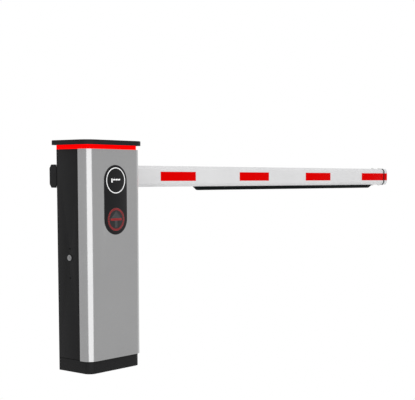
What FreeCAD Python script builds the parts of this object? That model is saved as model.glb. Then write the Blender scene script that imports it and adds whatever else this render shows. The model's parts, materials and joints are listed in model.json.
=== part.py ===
import FreeCAD, Part
import Sketcher
import math
import os
import re
from FreeCAD import Placement, Rotation, Vector

# Parking barrier gate, in millimetres. The origin is the centre of the cabinet's base on the floor.
# +X runs along the closed boom, -Y is the front of the cabinet and +Z is up.

DIMENSIONS = {
    # cabinet
    "core_width": 306,
    "core_depth": 195,
    "front_radius": 32,
    "rear_radius": 4,
    "sheet_metal": 2,
    "plinth_top": 54,
    "plinth_wall": 3,
    "flange_width": 32,
    "base_thickness": 8,
    "anchor_pitch_x": 240,
    "anchor_pitch_y": 130,
    "anchor_radius": 7,
    "cable_hole_x": 90,
    "cable_hole_y": 60,
    "rear_return": 30,
    "return_front": 75,
    "right_front": -64,
    "post_front": -76,
    "post_rear": -50,
    "post_sheet": 3,
    "post_width": 25,
    "frame_top": 949.5,
    "body_top": 952,
    "band_top": 970,
    "band_wall": 4,
    "overall_height": 990,
    "lid_overhang": 19.5,
    "lid_plate": 4,
    "lid_edge": 3,
    "lid_inset": 8,
    "lid_boss": 6,
    "lid_screw_x": 130,
    "lid_screw_y": 62,
    "lid_screw_length": 12,
    "lid_screw_head": 5,
    "lid_head_height": 3.5,
    "screw_radius": 2.5,
    "shell_proud": 8,
    "shell_rear": -45.5,
    "shell_gap": 0.3,
    # display on the front
    "panel_width": 132,
    "panel_bottom": 588,
    "panel_top": 885,
    "panel_thickness": 1.2,
    "opening_margin": 8,
    "board_margin": 10,
    "board_thickness": 1.6,
    "status_height": 819.5,
    "status_radius": 53.4,
    "status_stroke": 3.8,
    "status_thickness": 0.6,
    "sign_height": 653,
    "sign_radius": 50.5,
    "sign_thickness": 0.4,
    "led_circle": 42,
    "led_count": 40,
    "led_pitch": 5,
    "led_radius": 2.1,
    "led_height": 0.8,
    "led_bar": 30,
    "arrow_tip": 35,
    "arrow_stem": 6,
    # side door and its lock
    "door_front": -43.5,
    "door_rear": 92.5,
    "door_bottom": 56,
    "door_top": 948.5,
    "door_depth": 14,
    "door_pin_x": -147.5,
    "door_pin_y": 87.5,
    "door_pin_radius": 2.5,
    "hinge_length": 10,
    "rivet_y": 18.5,
    "rivet_upper": 530,
    "rivet_lower": 404.5,
    "rivet_radius": 3,
    "rivet_head": 3.8,
    "lock_y": 19,
    "lock_height": 491,
    "lock_radius": 12.8,
    "lock_flange": 3,
    "lock_barrel": 11,
    "lock_length": 25,
    "lock_core_radius": 7,
    "lock_core_length": 27.6,
    "key_slot_half": 0.9,
    "key_slot_reach": 4.5,
    "lock_cam_sheet": 3,
    "lock_cam_half": 9,
    "lock_cam_tail": 10,
    "lock_cam_reach": 75,
    # main shaft and what carries it
    "shaft_height": 838,
    "shaft_radius": 15,
    "shaft_front": -30,
    "shaft_rear": 128,
    "fit_gap": 0.05,
    "bearing_radius": 31,
    "bearing_width": 16,
    "bearing_inset": 2,
    "race_inner": 20,
    "race_outer": 26,
    "housing_front": 24,
    "housing_radius": 35,
    "housing_flange": 58,
    "flange_front": 70,
    "flange_tail": 72,
    "sensor_plate": 64,
    "sensor_plate_front": -10,
    "sensor_arm_front": 28,
    "sensor_plate_rear": 38,
    "sensor_radius": 6,
    "sensor_tip": 33,
    "sensor_end": 90,
    "cam_radius": 30,
    "cam_half": 2.5,
    "cam_notch": 19,
    "seal_front": 95.5,
    "seal_face": 97.5,
    "seal_rear": 100,
    "seal_neck": 26,
    "seal_radius": 30,
    "chassis_front": 82,
    "chassis_plate": 6,
    "chassis_half": 125,
    "chassis_top": 940,
    "chassis_hole": 20,
    "bolt_radius": 5,
    "bolt_circle": 48,
    "hex_radius": 9,
    "flange_head": 63.5,
    "flange_bolt_end": 92,
    "bolt_head": 6.4,
    # lever, crank and link rod
    "hub_radius": 26,
    "crank_hub": 24,
    "hub_front": -28,
    "hub_rear": -6,
    "lever_front": -26,
    "lever_rear": -14,
    "link_arm": 60,
    "spring_arm": 75,
    "arm_half": 14,
    "arm_end": 15,
    "stop_circle": 45,
    "stop_radius": 13,
    "stop_front": -29,
    "stop_rear": -11,
    "stop_pin_front": -32,
    "pin_radius": 7,
    "pin_front": -47,
    "pin_head": 10,
    "spring_pin_radius": 6,
    "spring_pin_head": 9,
    "spring_pin_front": -52,
    "spring_pin_rear": 12,
    "link_front": -44,
    "link_rear": -31,
    "link_eye": 14,
    "link_rod": 6,
    "link_nut": 10,
    "open_pivot_gap": 0.5,
    # gearbox and motor
    "drive_x": 40,
    "drive_height": 560,
    "gearbox_left": -12,
    "gearbox_right": 116,
    "gearbox_low": 506,
    "gearbox_high": 614,
    "gearbox_cover": 2,
    "gearbox_front": 8,
    "gearbox_wall": 8,
    "cover_hub": 20,
    "gear_bolt_right": 104,
    "gear_bolt_low": 518,
    "gear_bolt_high": 602,
    "output_radius": 12.5,
    "wheel_radius": 40,
    "wheel_teeth": 30,
    "wheel_width": 14,
    "tooth_depth": 5,
    "gap_foot": 1.2,
    "gap_mouth": 2.6,
    "worm_radius": 12,
    "worm_gap": 0.5,
    "motor_y": 45,
    "motor_radius": 36,
    "motor_low": 330,
    "motor_flange": 496,
    "motor_first_rib": 346,
    "motor_rib": 11,
    "motor_rib_pitch": 18,
    "motor_bore": 22,
    "motor_cap_low": 300,
    "motor_cap_edge": 304,
    "rotor_radius": 7,
    "rotor_low": 318,
    "rotor_high": 640,
    "rotor_core": 21,
    "rotor_core_low": 360,
    "rotor_core_high": 480,
    "worm_root": 9,
    "worm_low": 528,
    "worm_high": 589,
    "thread_first": 532,
    "thread_width": 3.5,
    "hand_radius": 24,
    "hand_low": 622,
    "hand_high": 632,
    "hand_hub": 11,
    "hand_hub_low": 618,
    # balance springs
    "spring_x": -55,
    "spring_foot": 262,
    "spring_front_y": -44,
    "spring_rear_y": 4,
    "spring_radius": 16,
    "spring_wall": 4,
    "spring_low": 285,
    "spring_high": 848,
    "spring_hook": 3,
    "spring_hook_low": 277,
    "spring_hook_high": 862,
    "anchor_half": 30,
    "anchor_front": -62,
    "anchor_low": 180,
    "anchor_shelf": 232,
    "anchor_top": 240,
    "anchor_web": 6,
    "anchor_web_front": 10,
    "anchor_back": 74,
    "anchor_bolt_x": 18,
    "anchor_bolt_z": 205,
    "eye_radius": 9,
    "eye_wire": 4,
    "eye_nut": 8,
    "eye_nut_height": 8,
    # electrics
    "box_left": -10,
    "box_right": 130,
    "box_front": 50,
    "box_low": 80,
    "box_high": 240,
    "box_wall": 3,
    "cover_plate": 4,
    "cover_margin": 15,
    "breaker_left": -105,
    "breaker_right": -69,
    "breaker_low": 90,
    "breaker_high": 170,
    "breaker_nose_low": 110,
    "breaker_nose_high": 150,
    "breaker_nose": 42,
    "toggle_left": -97,
    "toggle_width": 20,
    "toggle_y": 46.5,
    "toggle_z": 130,
    "toggle_radius": 5,
    "toggle_reach": 16,
    "toggle_thickness": 4,
    "toggle_lean": 20,
    # boom
    "boom_front": 137.5,
    "boom_depth": 46,
    "boom_height": 101,
    "chamfer_y": 11,
    "chamfer_z": 15.5,
    "boom_wall": 1.6,
    "boom_root": -118,
    "boom_seam": 2644,
    "boom_tip": 2695,
    "cap_plate": 6,
    "cap_plug": 20,
    "cap_fit": 0.2,
    "cap_edge": 5,
    "root_edge": 1.5,
    "tip_plug_start": 2500,
    "tip_wall": 4,
    "seam_width": 11,
    "seam_proud": 1.5,
    "tip_screw_first": 2545,
    "tip_screw_second": 2624,
    "tip_screw_head": 8,
    "tip_head_height": 5,
    "tip_screw_length": 12,
    "bumper_drop": 19,
    "bumper_half": 12,
    "bumper_edge": 5,
    "bumper_left": 815,
    "bumper_left_low": 843,
    "bumper_right_low": 2479,
    "bumper_right": 2521,
    "tape_first": 541.5,
    "tape_pitch": 613,
    "tape_length": 259,
    "tape_height": 45,
    "tape_thickness": 0.3,
    "clamp_left": -45,
    "clamp_right": 150,
    "clamp_half": 75,
    "clamp_plate": 6.5,
    "clamp_bolt_z": 63,
    "clamp_bolt_left": -20,
    "clamp_bolt_right": 125,
    "clamp_bolt_end": 18,
    "clamp_head": 7,
    "clamp_nut": 8,
    "holder_plate": 7.5,
    "holder_hub": 30,
    "holder_front": 101,
    "rib_right": 140,
    "rib_front": 121,
    "rib_half": 4,
}

# Shaft places of the two limit cams, each with its own sensor.
SENSOR_ROWS = (0.5, 16.5)
TAPE_ROWS = 3
LED_ROWS = 2

LINK_ANGLE = -45
SPRING_ANGLE = 150
STOP_ANGLE = -82.5

doc = FreeCAD.newDocument("BarrierGate")
sheet = doc.addObject("Spreadsheet::Sheet", "Sizes")
for row, (alias, number) in enumerate(DIMENSIONS.items(), 1):
    sheet.set(f"A{row}", alias)
    sheet.set(f"B{row}", str(number))
    sheet.setAlias(f"B{row}", alias)
doc.recompute()

NODES = {}


# ---------------------------------------------------------------- helpers

def formula(text):
    """Expression text with each alias written as a cell of the sheet."""
    def cell(word):
        return "Sizes." + word.group() if word.group() in DIMENSIONS else word.group()
    return re.sub(r"[A-Za-z_]+", cell, str(text))


def size(text):
    """Value of an expression of the sheet's aliases."""
    return float(sheet.evalExpression(str(text)))


def bind(thing, prop, text):
    thing.setExpression(prop, formula(text))


def node(label, thing):
    """Register a finished sub-part under the name of its file."""
    thing.Label = label
    NODES[label] = thing
    return thing


def block(x, y, z):
    """Box between the low and the high end given for each axis."""
    box = doc.addObject("Part::Box", "Block")
    for prop, axis, (low, high) in zip(("Length", "Width", "Height"), "xyz", (x, y, z)):
        bind(box, prop, f"({high}) - ({low})")
        bind(box, f"Placement.Base.{axis}", low)
    return box


TURN_TO = {
    "x": Rotation(Vector(0, 1, 0), 90),
    "y": Rotation(Vector(1, 0, 0), -90),
    "z": Rotation(),
}


def lay_along(thing, axis, at, low):
    """Lay a round thing along an axis, with its start at low and its centre at the other two places."""
    thing.Placement = Placement(Vector(), TURN_TO[axis])
    places = list(at)
    places.insert("xyz".index(axis), low)
    for name, place in zip("xyz", places):
        bind(thing, f"Placement.Base.{name}", place)
    return thing


def bar(axis, at, radius, low, high):
    """Round bar along an axis."""
    rod = doc.addObject("Part::Cylinder", "Bar")
    bind(rod, "Radius", radius)
    bind(rod, "Height", f"({high}) - ({low})")
    return lay_along(rod, axis, at, low)


def hexagon(axis, at, radius, low, high):
    """Hexagonal bar along an axis; the radius is measured to its corners."""
    prism = doc.addObject("Part::Prism", "Hexagon")
    prism.Polygon = 6
    bind(prism, "Circumradius", radius)
    bind(prism, "Height", f"({high}) - ({low})")
    return lay_along(prism, axis, at, low)


def union(*things):
    if len(things) == 1:
        return things[0]
    fused = doc.addObject("Part::MultiFuse", "Union")
    fused.Shapes = list(things)
    fused.Refine = True
    return fused


def minus(base, *tools):
    """Base with every tool cut away."""
    cut = doc.addObject("Part::Cut", "Cut")
    cut.Base = base
    cut.Tool = union(*tools)
    cut.Refine = True
    return cut


def common(first, second):
    shared = doc.addObject("Part::Common", "Common")
    shared.Base = first
    shared.Tool = second
    return shared


def group(*things):
    """Separate solids that share one node."""
    compound = doc.addObject("Part::Compound", "Group")
    compound.Links = list(things)
    return compound


def turned(axis, at, steps, bores=()):
    """Turned piece: a union of (radius, low, high) steps with (radius, low, high) bores cut out."""
    outside = union(*[bar(axis, at, *step) for step in steps])
    if not bores:
        return outside
    return minus(outside, *[bar(axis, at, *bore) for bore in bores])


def polar(centre, radius, degrees):
    """Point at a radius and angle from a centre in the XZ plane, seen from the front."""
    angle = math.radians(degrees)
    return (f"{centre[0]} + {radius * math.cos(angle)}", f"{centre[1]} + {radius * math.sin(angle)}")


def arm(centre, length, half, end_radius, low, high, degrees):
    """Flat arm in the XZ plane with a round end, swung about a centre."""
    web = block((0, length), (low, high), (f"-({half})", half))
    end = bar("y", (length, 0), end_radius, low, high)
    swung = union(web, end)
    place = Vector(size(centre[0]), 0, size(centre[1]))
    swung.Placement = Placement(place, Rotation(Vector(0, -1, 0), degrees))
    return swung


# ---------------------------------------------------------------- sketches

def new_body(name):
    return doc.addObject("PartDesign::Body", name)


def new_sketch(body, role, offset):
    """Sketch on one of the body's own origin planes, moved along the plane's normal."""
    plane = [feature for feature in body.Origin.OriginFeatures if feature.Role == role][0]
    sketch = body.newObject("Sketcher::SketchObject", "Outline")
    sketch.AttachmentSupport = (plane, [""])
    sketch.MapMode = "FlatFace"
    bind(sketch, "AttachmentOffset.Base.z", offset)
    return sketch


def pad(body, sketch, length):
    feature = body.newObject("PartDesign::Pad", "Pad")
    feature.Profile = sketch
    bind(feature, "Length", length)
    doc.recompute()
    return feature


def fix_place(sketch, geometry, vertex, horizontal, vertical):
    """Hold a point at a place given by two expressions."""
    for kind, text in (("DistanceX", horizontal), ("DistanceY", vertical)):
        if text is not None:
            index = sketch.addConstraint(Sketcher.Constraint(kind, -1, 1, geometry, vertex, size(text)))
            sketch.setExpression(f"Constraints[{index}]", formula(text))


def draw_footprint(sketch, grow):
    """Cabinet outline grown by a margin, with its own radii at the front and the rear corners."""
    right = f"core_width / 2 + ({grow})"
    rear = f"core_depth / 2 + ({grow})"
    front_corner = f"max(1; front_radius + ({grow}))"
    rear_corner = f"max(1; rear_radius + ({grow}))"
    half, deep, near, far = (size(text) for text in (right, rear, front_corner, rear_corner))

    def line(start, end):
        return sketch.addGeometry(Part.LineSegment(Vector(*start, 0), Vector(*end, 0)), False)

    def corner(x, y, radius, start):
        circle = Part.Circle(Vector(x, y, 0), Vector(0, 0, 1), radius)
        arc = Part.ArcOfCircle(circle, math.radians(start), math.radians(start + 90))
        return sketch.addGeometry(arc, False)

    edges = [
        line((near - half, -deep), (half - near, -deep)),
        corner(half - near, near - deep, near, -90),
        line((half, near - deep), (half, deep - far)),
        corner(half - far, deep - far, far, 0),
        line((half - far, deep), (far - half, deep)),
        corner(far - half, deep - far, far, 90),
        line((-half, deep - far), (-half, near - deep)),
        corner(near - half, near - deep, near, 180),
    ]
    for this, following in zip(edges, edges[1:] + edges[:1]):
        sketch.addConstraint(Sketcher.Constraint("Tangent", this, 2, following, 1))
    for kind, index in (("Horizontal", 0), ("Horizontal", 4), ("Vertical", 2), ("Vertical", 6)):
        sketch.addConstraint(Sketcher.Constraint(kind, edges[index]))
    sketch.addConstraint(Sketcher.Constraint("Equal", edges[1], edges[7]))
    sketch.addConstraint(Sketcher.Constraint("Equal", edges[3], edges[5]))
    fix_place(sketch, edges[2], 1, right, None)
    fix_place(sketch, edges[6], 1, f"-({right})", None)
    fix_place(sketch, edges[0], 1, None, f"-({rear})")
    fix_place(sketch, edges[4], 1, None, rear)
    for edge, text in ((edges[1], front_corner), (edges[3], rear_corner)):
        index = sketch.addConstraint(Sketcher.Constraint("Radius", edge, size(text)))
        sketch.setExpression(f"Constraints[{index}]", formula(text))


def draw_polygon(sketch, corners):
    """Closed outline of straight lines through corners given as pairs of expressions."""
    points = [Vector(size(x), size(y), 0) for x, y in corners]
    edges = []
    for start, end in zip(points, points[1:] + points[:1]):
        edges.append(sketch.addGeometry(Part.LineSegment(start, end), False))
    for this, following in zip(edges, edges[1:] + edges[:1]):
        sketch.addConstraint(Sketcher.Constraint("Coincident", this, 2, following, 1))
    for edge, (x, y) in zip(edges, corners):
        fix_place(sketch, edge, 1, x, y)


def footprint_body(name, layers):
    """Body of stacked pads: each layer is (grow, inner grow or None, low, high)."""
    body = new_body(name)
    for outer, inner, low, high in layers:
        sketch = new_sketch(body, "XY_Plane", low)
        draw_footprint(sketch, outer)
        if inner is not None:
            draw_footprint(sketch, inner)
        pad(body, sketch, f"({high}) - ({low})")
    return body


def boom_corners(inset):
    """Corners of the boom's octagonal section, moved inwards by an even wall."""
    slant = "(sqrt(1 / chamfer_y ^ 2 + 1 / chamfer_z ^ 2) - 1 / chamfer_y - 1 / chamfer_z)"
    shrink = f"(1 + ({inset}) * {slant})"
    front = f"boom_front + ({inset})"
    rear = f"boom_front + boom_depth - ({inset})"
    low = f"shaft_height - boom_height / 2 + ({inset})"
    high = f"shaft_height + boom_height / 2 - ({inset})"
    cut_y = f"chamfer_y * {shrink}"
    cut_z = f"chamfer_z * {shrink}"
    return [
        (f"{front} + {cut_y}", low),
        (f"{rear} - {cut_y}", low),
        (rear, f"{low} + {cut_z}"),
        (rear, f"{high} - {cut_z}"),
        (f"{rear} - {cut_y}", high),
        (f"{front} + {cut_y}", high),
        (front, f"{high} - {cut_z}"),
        (front, f"{low} + {cut_z}"),
    ]


def boom_body(name, layers):
    """Body of pads along X with the boom's section: layers are (inset, inner inset or None, low, high)."""
    body = new_body(name)
    for outer, inner, low, high in layers:
        sketch = new_sketch(body, "YZ_Plane", low)
        draw_polygon(sketch, boom_corners(outer))
        if inner is not None:
            draw_polygon(sketch, boom_corners(inner))
        pad(body, sketch, f"({high}) - ({low})")
    return body


def soften(body, kind, radius, wanted):
    """Fillet or chamfer the edges or faces of the body's last feature that the test picks out."""
    base = body.Tip
    names = [f"Edge{i}" for i, edge in enumerate(base.Shape.Edges, 1) if wanted(edge.BoundBox)]
    feature = body.newObject(f"PartDesign::{kind}", kind)
    feature.Base = (base, names)
    if kind == "Fillet":
        feature.Radius = radius
    else:
        feature.Size = radius
    doc.recompute()
    return feature


def lies_at(low, high, place):
    """True where both ends of a span are at a place."""
    return abs(low - place) < 0.01 and abs(high - place) < 0.01


# ---------------------------------------------------------------- cabinet

SHAFT = ("0", "shaft_height")
CHASSIS_REAR = "(chassis_front + chassis_plate)"


def make_base():
    plate = footprint_body("BasePlate", [("-plinth_wall", None, 0, "base_thickness")])
    holes = []
    for x in ("-anchor_pitch_x / 2", "anchor_pitch_x / 2"):
        for y in ("-anchor_pitch_y / 2", "anchor_pitch_y / 2"):
            holes.append(bar("z", (x, y), "anchor_radius", -1, "base_thickness + 1"))
    half_cable = "cable_hole_x / 2"
    cable = block((f"-{half_cable}", half_cable), ("-cable_hole_y", 0), (-1, "base_thickness + 1"))
    node("base_plate", minus(plate, *holes, cable))
    node("plinth", footprint_body("Plinth", [
        (0, "-plinth_wall", 0, "plinth_top"),
        ("-plinth_wall", "-flange_width", "plinth_top - plinth_wall", "plinth_top"),
    ]))


def make_inner_frame():
    """Welded frame: a ring under the lid on two angle posts behind the front corners."""
    ring = footprint_body("FrameRing", [(0, "-flange_width", "frame_top", "body_top")])
    posts = []
    for side in (-1, 1):
        outer = f"{side} * (core_width / 2 - sheet_metal)"
        leaves = ((("post_front", "post_rear"), "post_sheet"),
                  (("post_rear - post_sheet", "post_rear"), "post_width"))
        for deep, wide in leaves:
            inner = f"{outer} - {side} * {wide}"
            span = (outer, inner) if side < 0 else (inner, outer)
            posts.append(block(span, deep, ("plinth_top", "frame_top")))
    frame = union(ring, *posts)
    holes = [bar("z", at, "screw_radius + 0.1", "frame_top - 1", "band_top") for at in lid_screw_places()]
    node("inner_frame", minus(frame, *holes))


def lid_screw_places():
    return [(f"{x} * lid_screw_x", f"{y} * lid_screw_y") for x in (-1, 1) for y in (-1, 1)]


def make_panels():
    tube = footprint_body("CoreTube", [(0, "-sheet_metal", "plinth_top", "frame_top")])
    inside = "core_depth / 2 - sheet_metal"
    back = block(("-core_width", "core_width"), (f"{inside} - 0.5", "core_depth"), (0, "body_top"))
    side = "core_width / 2 - rear_return"
    lip = block((side, "core_width"), ("return_front", "core_depth"), (0, "body_top"))
    hole = bar("y", SHAFT, "seal_neck", CHASSIS_REAR, "core_depth")
    node("rear_panel", minus(common(tube, union(back, lip)), hole))
    right = ("core_width / 2 - sheet_metal", "core_width / 2")
    node("right_panel", block(right, ("right_front", "return_front"), ("plinth_top", "frame_top")))


def pill(half_width, low, high, front, rear):
    """Upright plate with round ends, facing the front."""
    centres = (f"{low} + {half_width}", f"{high} - {half_width}")
    middle = block((f"-({half_width})", half_width), (front, rear), centres)
    return union(middle, *[bar("y", (0, centre), half_width, front, rear) for centre in centres])


def make_shell():
    """Front shell: a U wrap with small returns all round, proud of the core."""
    outer = footprint_body("ShellOuter", [("shell_proud", None, "plinth_top", "body_top")])
    skin = "shell_proud - sheet_metal"
    inside = (skin, None, "plinth_top + sheet_metal", "body_top - sheet_metal")
    inner = footprint_body("ShellInner", [inside])
    wide = ("-core_width", "core_width")
    ahead = block(wide, ("-core_depth", "shell_rear - sheet_metal"), (0, "overall_height"))
    window = footprint_body("ShellWindow", [("shell_gap", None, 0, "overall_height")])
    behind = block(wide, ("shell_rear", "core_depth"), (0, "overall_height"))
    opening = pill("(panel_width / 2 - opening_margin)", "panel_bottom + opening_margin",
                   "panel_top - opening_margin", "-core_depth", "post_rear")
    node("front_shell", minus(outer, common(inner, ahead), window, behind, opening))


def make_top():
    node("light_band", footprint_body("LightBand", [(0, "-band_wall", "body_top", "band_top")]))
    lid = footprint_body("LidPlate", [("lid_overhang", None, "band_top", "overall_height")])
    top = size("overall_height")
    soften(lid, "Fillet", size("lid_edge"), lambda box: lies_at(box.ZMin, box.ZMax, top))
    ceiling = "overall_height - lid_plate"
    hollow = footprint_body("LidHollow", [("-lid_inset", None, "band_top - 1", ceiling)])
    bosses = [bar("z", at, "lid_boss", "band_top", ceiling) for at in lid_screw_places()]
    screw_end = "band_top + lid_screw_length"
    holes = [bar("z", at, "screw_radius", "band_top - 1", screw_end) for at in lid_screw_places()]
    node("lid", minus(union(minus(lid, hollow), *bosses), *holes))
    screws = []
    for at in lid_screw_places():
        screws.append(turned("z", at, [("lid_screw_head", "frame_top - lid_head_height", "frame_top"),
                                       ("screw_radius", "frame_top", screw_end)]))
    node("lid_screws", group(*screws))


# ---------------------------------------------------------------- display

FRONT = "-core_depth / 2 - shell_proud"
FACE = "-core_depth / 2 - shell_proud - panel_thickness"


def make_display():
    node("display_panel", pill("panel_width / 2", "panel_bottom", "panel_top", FACE, FRONT))
    board = pill("(panel_width / 2 - board_margin)", "panel_bottom + board_margin",
                 "panel_top - board_margin", FRONT, f"{FRONT} + board_thickness")
    node("led_board", board)
    outer = "status_radius + status_stroke / 2"
    inner = "status_radius - status_stroke / 2"
    node("status_ring", turned("y", (0, "status_height"), [(outer, f"{FACE} - status_thickness", FACE)],
                               [(inner, f"{FACE} - 1", f"{FACE} + 1")]))
    node("sign_disc", bar("y", (0, "sign_height"), "sign_radius", f"{FACE} - sign_thickness", FACE))


def make_leds():
    """Sign lamps: rings and a bar of red ones, and an arrow of unlit ones behind the bar."""
    pitch = size("led_pitch")
    red = []
    count = int(size("led_count"))
    for index in range(count):
        angle = 2 * math.pi * index / count
        for row in range(LED_ROWS):
            circle = size("led_circle") + row * pitch
            red.append((circle * math.sin(angle), circle * math.cos(angle)))
    grid = [column * pitch for column in range(-7, 8)]
    lines = [(line + 0.5) * pitch for line in range(-7, 7)]
    red += [(x, up) for x in grid for up in lines if abs(x) <= size("led_bar") and abs(up) < pitch]
    arrow = []
    clear = size("led_circle - 2 * led_radius - 0.2")
    for up in lines:
        reach = size("arrow_tip") - up if up > 0 else size("arrow_stem")
        if abs(up) > pitch:
            arrow += [(x, up) for x in grid if abs(x) <= reach and math.hypot(x, up) < clear]
    face = size(FACE) - size("sign_thickness")
    for label, places in (("red_leds", red), ("arrow_leds", arrow)):
        lamps = []
        for x, up in places:
            start = Vector(x, face, size("sign_height") + up)
            lamps.append(Part.makeCylinder(size("led_radius"), size("led_height"), start, Vector(0, -1, 0)))
        matrix = doc.addObject("Part::Feature", "Lamps")
        matrix.Shape = Part.makeCompound(lamps)
        node(label, matrix)


# ---------------------------------------------------------------- door and lock

def make_door():
    skin = "-core_width / 2"
    outer = block((skin, f"{skin} + door_depth"), ("door_front", "door_rear"), ("door_bottom", "door_top"))
    hollow = block((f"{skin} + sheet_metal", 0), ("door_front + sheet_metal", "door_rear - sheet_metal"),
                   ("door_bottom + sheet_metal", "door_top - sheet_metal"))
    pins = bar("z", ("door_pin_x", "door_pin_y"), "door_pin_radius + fit_gap", 0, "overall_height")
    lock = bar("x", ("lock_y", "lock_height"), "lock_barrel", f"{skin} - 1", f"{skin} + door_depth")
    rivets = []
    holes = []
    for up in ("rivet_upper", "rivet_lower"):
        at = ("rivet_y", up)
        holes.append(bar("x", at, "rivet_radius", f"{skin} - 1", f"{skin} + 2 * sheet_metal"))
        tail = f"{skin} + sheet_metal"
        rivets.append(turned("x", at, [("rivet_head", f"{skin} - 1", skin),
                                       ("rivet_radius", skin, f"{tail} + 1"),
                                       ("rivet_head", tail, f"{tail} + sheet_metal")]))
    node("side_door", minus(outer, hollow, pins, lock, *holes))
    node("door_rivets", group(*rivets))
    at = ("door_pin_x", "door_pin_y")
    node("hinge_pins", group(bar("z", at, "door_pin_radius", "plinth_top", "plinth_top + hinge_length"),
                             bar("z", at, "door_pin_radius", "frame_top - hinge_length", "frame_top")))


def make_lock():
    skin = "-core_width / 2"
    face = f"{skin} - lock_flange"
    at = ("lock_y", "lock_height")
    inner_end = f"{skin} + lock_core_length"
    barrel_end = f"{skin} + lock_length"
    node("lock_body", turned("x", at, [("lock_radius", face, skin), ("lock_barrel", skin, barrel_end)],
                             [("lock_core_radius + fit_gap", f"{face} - 1", f"{barrel_end} + 1")]))
    core = bar("x", at, "lock_core_radius", f"{face} - 0.5", inner_end)
    slot = block((f"{face} - 1", f"{skin} + lock_flange"),
                 ("lock_y - key_slot_half", "lock_y + key_slot_half"),
                 ("lock_height - key_slot_reach", "lock_height + key_slot_reach"))
    node("lock_core", minus(core, slot))
    node("lock_cam", block((inner_end, f"{inner_end} + lock_cam_sheet"),
                           ("lock_y - lock_cam_half", "lock_y + lock_cam_half"),
                           ("lock_height - lock_cam_reach", "lock_height + lock_cam_tail")))


# ---------------------------------------------------------------- main shaft

def flange_bolts():
    radius = size("bolt_circle")
    return [polar(SHAFT, radius, 45 + 90 * quarter) for quarter in range(4)]


def gearbox_bolts():
    return [(x, z) for x in (0, "gear_bolt_right") for z in ("gear_bolt_low", "gear_bolt_high")]


def anchor_bolts():
    return [(f"spring_x + {side} * anchor_bolt_x", "anchor_bolt_z") for side in (-1, 1)]


def make_chassis():
    """Channel that stands on the plinth and carries the whole mechanism."""
    span = ("plinth_top", "chassis_top")
    plate = block(("-chassis_half", "chassis_half"), ("chassis_front", CHASSIS_REAR), span)
    inside = "core_depth / 2 - sheet_metal"
    sides = (("-chassis_half", "chassis_plate - chassis_half"),
             ("chassis_half - chassis_plate", "chassis_half"))
    legs = [block(side, (CHASSIS_REAR, inside), span) for side in sides]
    holes = [bar("y", SHAFT, "chassis_hole", "chassis_front - 1", "core_depth")]
    for at in flange_bolts() + gearbox_bolts() + anchor_bolts():
        holes.append(bar("y", at, "bolt_radius", "chassis_front - 1", "core_depth"))
    node("chassis_plate", minus(union(plate, *legs), *holes))


def make_bearing_housing():
    """Casting with two bearing seats, a bolted flange and an arm for the limit sensors."""
    body = turned("y", SHAFT, [("housing_radius", "housing_front", "flange_tail"),
                               ("housing_flange", "flange_front", "chassis_front")])
    stem = block(("housing_radius - 2", "flange_tail"), ("sensor_arm_front", "sensor_plate_rear"),
                 ("shaft_height - 6", "shaft_height + 6"))
    plate = block(("sensor_plate", "flange_tail"), ("sensor_plate_front", "sensor_plate_rear"),
                  ("shaft_height - 10", "shaft_height + 10"))
    front_seat = "housing_front + bearing_inset + bearing_width"
    rear_seat = "chassis_front - bearing_inset - bearing_width - 2"
    bores = [bar("y", SHAFT, "bearing_radius", "housing_front", front_seat),
             bar("y", SHAFT, "bearing_radius - 4", "housing_front + 1", "chassis_front - 1"),
             bar("y", SHAFT, "bearing_radius", rear_seat, "chassis_front")]
    bores += [bar("y", at, "bolt_radius", "flange_front - 1", "chassis_front + 1") for at in flange_bolts()]
    bores += [bar("x", (deep, "shaft_height"), "sensor_radius", "sensor_plate - 1", "flange_tail + 1")
              for deep in SENSOR_ROWS]
    node("bearing_housing", minus(union(body, stem, plate), *bores))
    races = []
    for front in ("housing_front + bearing_inset", rear_seat):
        rear = f"{front} + bearing_width"
        bore = ("shaft_radius + fit_gap", front, rear)
        race = turned("y", SHAFT, [("bearing_radius", front, rear)], [bore])
        for low, high in ((front, f"{front} + 1"), (f"{rear} - 1", rear)):
            race = minus(race, turned("y", SHAFT, [("race_outer", low, high)], [("race_inner", low, high)]))
        races.append(race)
    node("bearings", group(*races))


def make_shaft():
    node("main_shaft", bar("y", SHAFT, "shaft_radius", "shaft_front", "shaft_rear"))
    cams = []
    sensors = []
    for middle in SENSOR_ROWS:
        low, high = f"{middle} - cam_half", f"{middle} + cam_half"
        disc = turned("y", SHAFT, [("cam_radius", low, high)], [("shaft_radius", low, high)])
        notch = block((0, "cam_radius + 1"), (low, high),
                      ("shaft_height + cam_notch", "shaft_height + cam_radius + 1"))
        cams.append(minus(disc, notch))
        sensors.append(turned("x", (middle, "shaft_height"),
                              [("sensor_radius", "sensor_tip", "sensor_end"),
                               ("sensor_radius - 2", "sensor_end", "sensor_end + 6")]))
    node("limit_cams", group(*cams))
    node("limit_sensors", group(*sensors))
    seal = [("seal_neck", "seal_front", "seal_face"), ("seal_radius", "seal_face", "seal_rear")]
    node("shaft_seal", turned("y", SHAFT, seal, [("shaft_radius + fit_gap", "seal_front", "seal_rear")]))


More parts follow.
